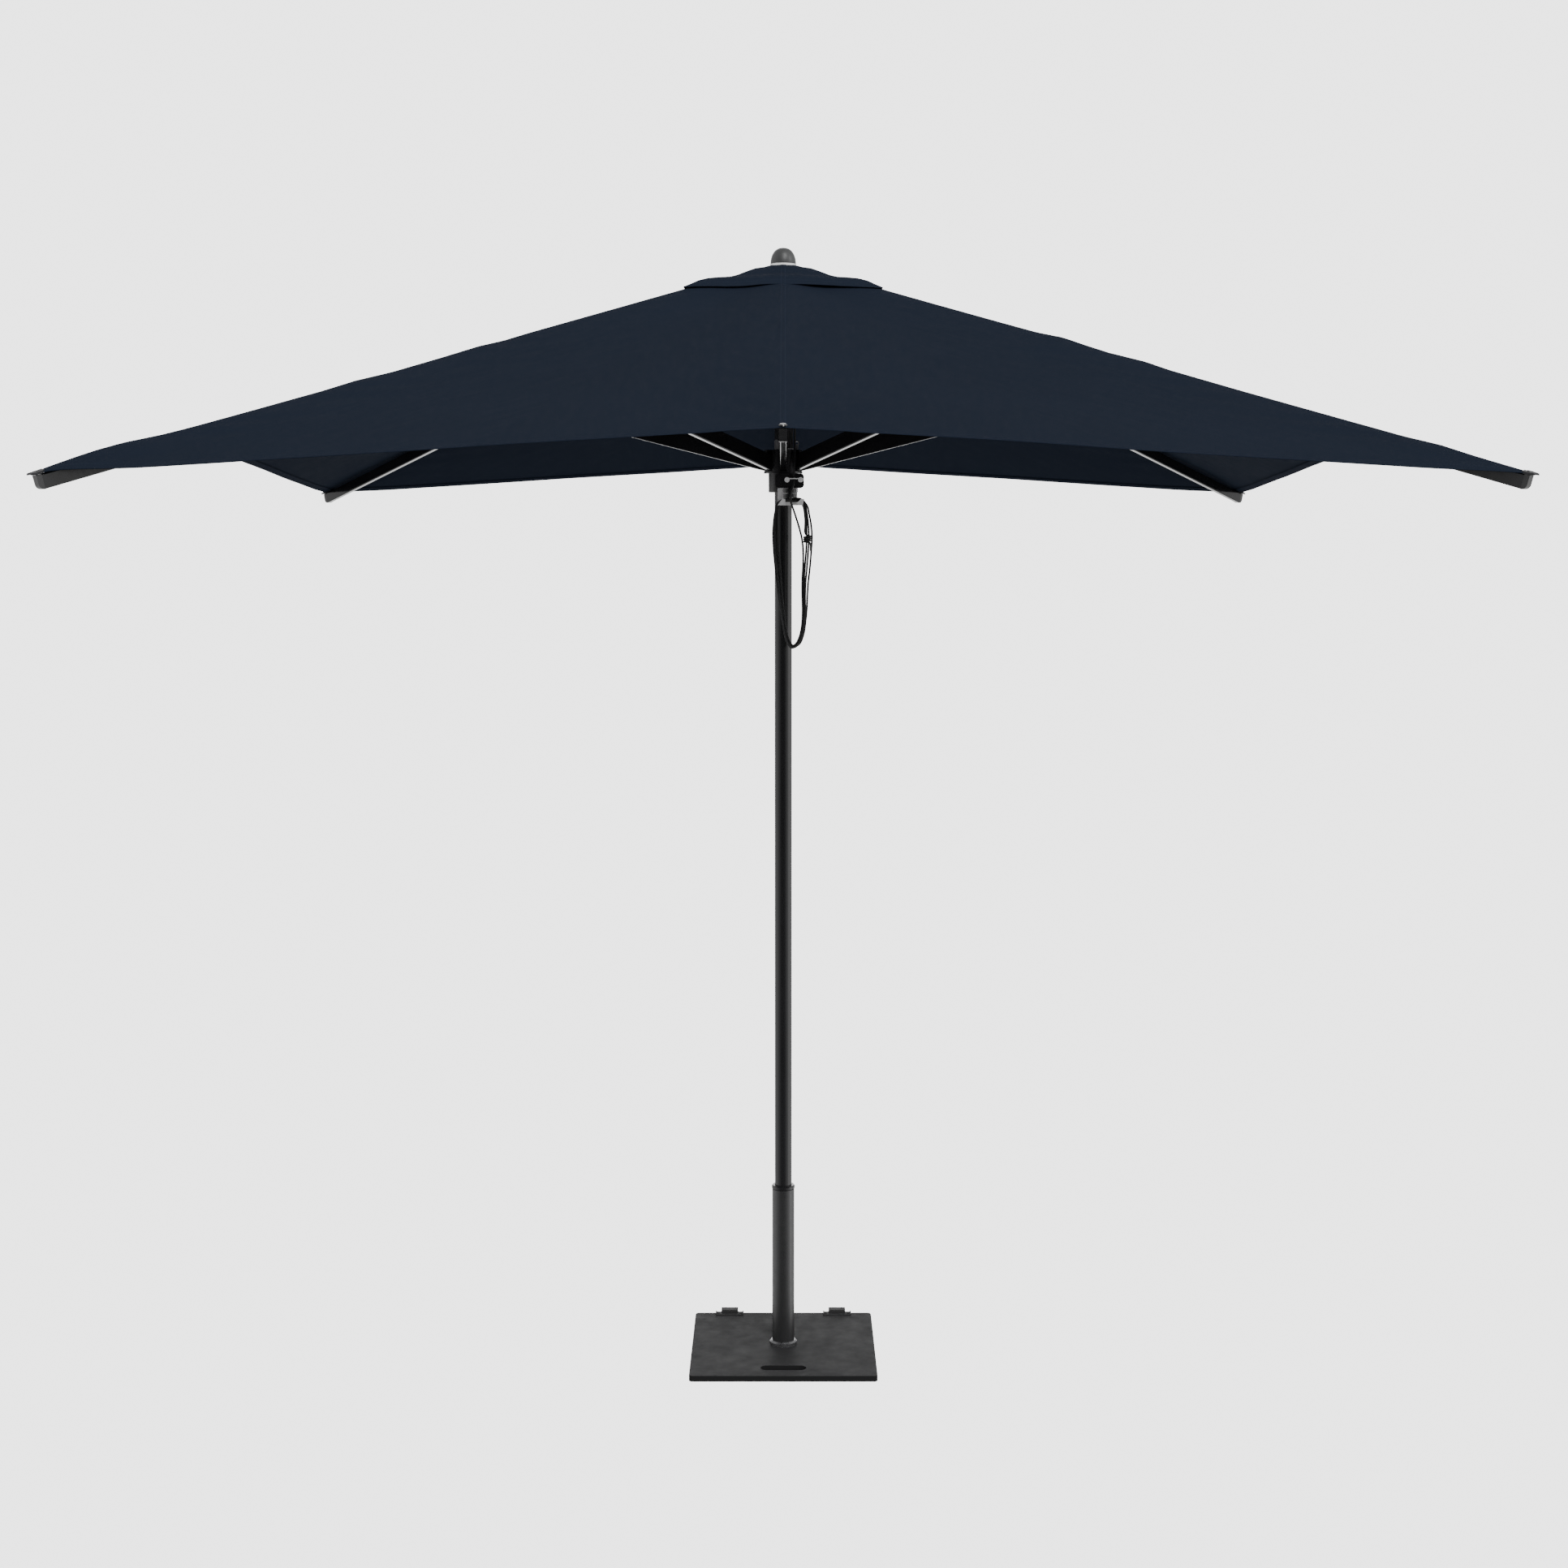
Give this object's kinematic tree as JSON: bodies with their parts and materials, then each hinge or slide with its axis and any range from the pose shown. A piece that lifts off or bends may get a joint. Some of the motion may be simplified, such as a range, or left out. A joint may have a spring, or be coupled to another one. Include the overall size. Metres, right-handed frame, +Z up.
{
  "type": "patio umbrella with base",
  "caption": "Square garden parasol with a dark cloth canopy and vent cap on folding ribs, a rope-hoisted runner with cam cleat, and a sleeve on a steel base plate with tilt rollers.",
  "frame": {"origin": "middle of the underside of the base plate, on the pole's axis, where the object stands on the ground", "axes": "+Z up along the pole; -Y is the front, the side with the hand slot and the rope cleat; +Y is the back, with the two tilt rollers; +X is to the right seen from the front"},
  "size_m": [3.012, 3.012, 2.9723],
  "materials": {
    "plate_steel": "matte",
    "frame_aluminium": "satin",
    "tube_steel": "satin",
    "black_plastic": "satin",
    "bright_steel": "polished",
    "canopy_cloth": "matte",
    "rope_black": "matte",
    "roller_rubber": "matte",
    "fitting_metal": "satin"
  },
  "bodies": {
    "base": {"base_plate": "plate_steel", "base_sleeve": "tube_steel", "sleeve_foot_ring": "tube_steel", "sleeve_bush": "black_plastic", "wheel_brackets": "tube_steel", "bracket_hardware": "bright_steel"},
    "roller_left": {"roller_left": "roller_rubber"},
    "roller_right": {"roller_right": "roller_rubber"},
    "mast": {"pole": "frame_aluminium", "crown_hub": "black_plastic", "crown_pins": "bright_steel", "finial": "black_plastic", "finial_ring": "bright_steel", "top_patch": "canopy_cloth"},
    "crown_sheave": {"crown_sheave": "bright_steel"},
    "halyard": {"rope_falls": "rope_black"},
    "runner": {"runner_hub": "black_plastic", "runner_sleeve": "black_plastic", "runner_pins": "bright_steel", "runner_lugs": "bright_steel", "cleat_body": "black_plastic", "cleat_trim": "bright_steel", "rope_spool": "black_plastic", "hook_plate": "bright_steel", "rope_coil": "rope_black", "rope_lead": "rope_black"},
    "cam_left": {"cam_left": "black_plastic"},
    "cam_right": {"cam_right": "black_plastic"},
    "rib_right": {"rib_right": "frame_aluminium", "fittings_right": "fitting_metal", "canopy_right": "canopy_cloth"},
    "strut_right": {"strut_right": "frame_aluminium"},
    "rib_back_right": {"rib_back_right": "frame_aluminium", "fittings_back_right": "fitting_metal", "canopy_back_right": "canopy_cloth"},
    "strut_back_right": {"strut_back_right": "frame_aluminium"},
    "rib_back": {"rib_back": "frame_aluminium", "fittings_back": "fitting_metal", "canopy_back": "canopy_cloth"},
    "strut_back": {"strut_back": "frame_aluminium"},
    "rib_back_left": {"rib_back_left": "frame_aluminium", "fittings_back_left": "fitting_metal", "canopy_back_left": "canopy_cloth"},
    "strut_back_left": {"strut_back_left": "frame_aluminium"},
    "rib_left": {"rib_left": "frame_aluminium", "fittings_left": "fitting_metal", "canopy_left": "canopy_cloth"},
    "strut_left": {"strut_left": "frame_aluminium"},
    "rib_front_left": {"rib_front_left": "frame_aluminium", "fittings_front_left": "fitting_metal", "canopy_front_left": "canopy_cloth"},
    "strut_front_left": {"strut_front_left": "frame_aluminium"},
    "rib_front": {"rib_front": "frame_aluminium", "fittings_front": "fitting_metal", "canopy_front": "canopy_cloth"},
    "strut_front": {"strut_front": "frame_aluminium"},
    "rib_front_right": {"rib_front_right": "frame_aluminium", "fittings_front_right": "fitting_metal", "canopy_front_right": "canopy_cloth"},
    "strut_front_right": {"strut_front_right": "frame_aluminium"}
  },
  "joints": [
    {"name": "pole_swivel", "type": "hinge", "parent": "base", "child": "mast", "pos_m": [0, 0, 0.25], "axis": [0, 0, 1], "continuous": true},
    {"name": "roller_left_spin", "type": "hinge", "parent": "base", "child": "roller_left", "pos_m": [-0.153, 0.262, 0.012], "axis": [1, 0, 0], "continuous": true},
    {"name": "roller_right_spin", "type": "hinge", "parent": "base", "child": "roller_right", "pos_m": [0.153, 0.262, 0.012], "axis": [1, 0, 0], "continuous": true},
    {"name": "crown_sheave_spin", "type": "hinge", "parent": "mast", "child": "crown_sheave", "pos_m": [0.02325, -0.052, 2.845], "axis": [0, 1, 0], "continuous": true},
    {"name": "fold", "type": "hinge", "parent": "mast", "child": "rib_front_right", "pos_m": [0.03182, -0.03182, 2.88366], "axis": [0.7071, 0.7071, 0], "range_deg": [0, 71.44], "deforming": ["canopy_front_right"]},
    {"name": "rib_right_hinge", "type": "hinge", "parent": "mast", "child": "rib_right", "pos_m": [0.045, 0, 2.88366], "axis": [0, 1, 0], "range_deg": [0, 66.85], "deforming": ["canopy_right"]},
    {"name": "rib_back_right_hinge", "type": "hinge", "parent": "mast", "child": "rib_back_right", "pos_m": [0.03182, 0.03182, 2.88366], "axis": [-0.7071, 0.7071, 0], "range_deg": [0, 71.44], "deforming": ["canopy_back_right"]},
    {"name": "rib_back_hinge", "type": "hinge", "parent": "mast", "child": "rib_back", "pos_m": [0, 0.045, 2.88366], "axis": [-1, 0, 0], "range_deg": [0, 66.85], "deforming": ["canopy_back"]},
    {"name": "rib_back_left_hinge", "type": "hinge", "parent": "mast", "child": "rib_back_left", "pos_m": [-0.03182, 0.03182, 2.88366], "axis": [-0.7071, -0.7071, 0], "range_deg": [0, 71.44], "deforming": ["canopy_back_left"]},
    {"name": "rib_left_hinge", "type": "hinge", "parent": "mast", "child": "rib_left", "pos_m": [-0.045, 0, 2.88366], "axis": [0, -1, 0], "range_deg": [0, 66.85], "deforming": ["canopy_left"]},
    {"name": "rib_front_left_hinge", "type": "hinge", "parent": "mast", "child": "rib_front_left", "pos_m": [-0.03182, -0.03182, 2.88366], "axis": [0.7071, -0.7071, 0], "range_deg": [0, 71.44], "deforming": ["canopy_front_left"]},
    {"name": "rib_front_hinge", "type": "hinge", "parent": "mast", "child": "rib_front", "pos_m": [0, -0.045, 2.88366], "axis": [1, 0, 0], "range_deg": [0, 66.85], "deforming": ["canopy_front"]},
    {"name": "strut_front_right_hinge", "type": "hinge", "parent": "rib_front_right", "child": "strut_front_right", "pos_m": [0.57276, -0.57276, 2.64883], "axis": [0.7071, 0.7071, 0], "range_deg": [-142.88, 0]},
    {"name": "runner_hinge", "type": "hinge", "parent": "strut_front_right", "child": "runner", "pos_m": [0.03182, -0.03182, 2.414], "axis": [0.7071, 0.7071, 0], "range_deg": [0, 71.44]},
    {"name": "strut_right_hinge", "type": "hinge", "parent": "runner", "child": "strut_right", "pos_m": [0.045, 0, 2.414], "axis": [0, 1, 0], "range_deg": [-72.58, 0]},
    {"name": "strut_back_right_hinge", "type": "hinge", "parent": "runner", "child": "strut_back_right", "pos_m": [0.03182, 0.03182, 2.414], "axis": [-0.7071, 0.7071, 0], "range_deg": [-71.44, 0]},
    {"name": "strut_back_hinge", "type": "hinge", "parent": "runner", "child": "strut_back", "pos_m": [0, 0.045, 2.414], "axis": [-1, 0, 0], "range_deg": [-72.58, 0]},
    {"name": "strut_back_left_hinge", "type": "hinge", "parent": "runner", "child": "strut_back_left", "pos_m": [-0.03182, 0.03182, 2.414], "axis": [-0.7071, -0.7071, 0], "range_deg": [-71.44, 0]},
    {"name": "strut_left_hinge", "type": "hinge", "parent": "runner", "child": "strut_left", "pos_m": [-0.045, 0, 2.414], "axis": [0, -1, 0], "range_deg": [-72.58, 0]},
    {"name": "strut_front_left_hinge", "type": "hinge", "parent": "runner", "child": "strut_front_left", "pos_m": [-0.03182, -0.03182, 2.414], "axis": [0.7071, -0.7071, 0], "range_deg": [-71.44, 0]},
    {"name": "strut_front_hinge", "type": "hinge", "parent": "runner", "child": "strut_front", "pos_m": [0, -0.045, 2.414], "axis": [1, 0, 0], "range_deg": [-72.58, 0]},
    {"name": "halyard_run", "type": "slide", "parent": "mast", "child": "halyard", "axis": [0, 0, -1], "range_m": [0, 1.13035], "deforming": ["rope_falls"]},
    {"name": "cam_left_turn", "type": "hinge", "parent": "runner", "child": "cam_left", "pos_m": [0.01, -0.064, 2.37], "axis": [0, -1, 0], "range_deg": [0, 25], "stiffness_Nm_per_rad": 0.12, "springref_deg": -8.59},
    {"name": "cam_right_turn", "type": "hinge", "parent": "runner", "child": "cam_right", "pos_m": [0.0456, -0.064, 2.37], "axis": [0, 1, 0], "range_deg": [0, 25], "stiffness_Nm_per_rad": 0.12, "springref_deg": -8.59}
  ],
  "couplings": [
    {"joint": "rib_right_hinge", "follows": "fold", "ratio": 0.93568},
    {"joint": "rib_back_right_hinge", "follows": "fold", "ratio": 1},
    {"joint": "rib_back_hinge", "follows": "fold", "ratio": 0.93568},
    {"joint": "rib_back_left_hinge", "follows": "fold", "ratio": 1},
    {"joint": "rib_left_hinge", "follows": "fold", "ratio": 0.93568},
    {"joint": "rib_front_left_hinge", "follows": "fold", "ratio": 1},
    {"joint": "rib_front_hinge", "follows": "fold", "ratio": 0.93568},
    {"joint": "strut_front_right_hinge", "follows": "fold", "ratio": -2},
    {"joint": "runner_hinge", "follows": "fold", "ratio": 1},
    {"joint": "strut_right_hinge", "follows": "fold", "ratio": -1.0158},
    {"joint": "strut_back_right_hinge", "follows": "fold", "ratio": -1},
    {"joint": "strut_back_hinge", "follows": "fold", "ratio": -1.0158},
    {"joint": "strut_back_left_hinge", "follows": "fold", "ratio": -1},
    {"joint": "strut_left_hinge", "follows": "fold", "ratio": -1.0158},
    {"joint": "strut_front_left_hinge", "follows": "fold", "ratio": -1},
    {"joint": "strut_front_hinge", "follows": "fold", "ratio": -1.0158},
    {"joint": "halyard_run", "follows": "fold", "m_per_rad": 0.90654}
  ]
}
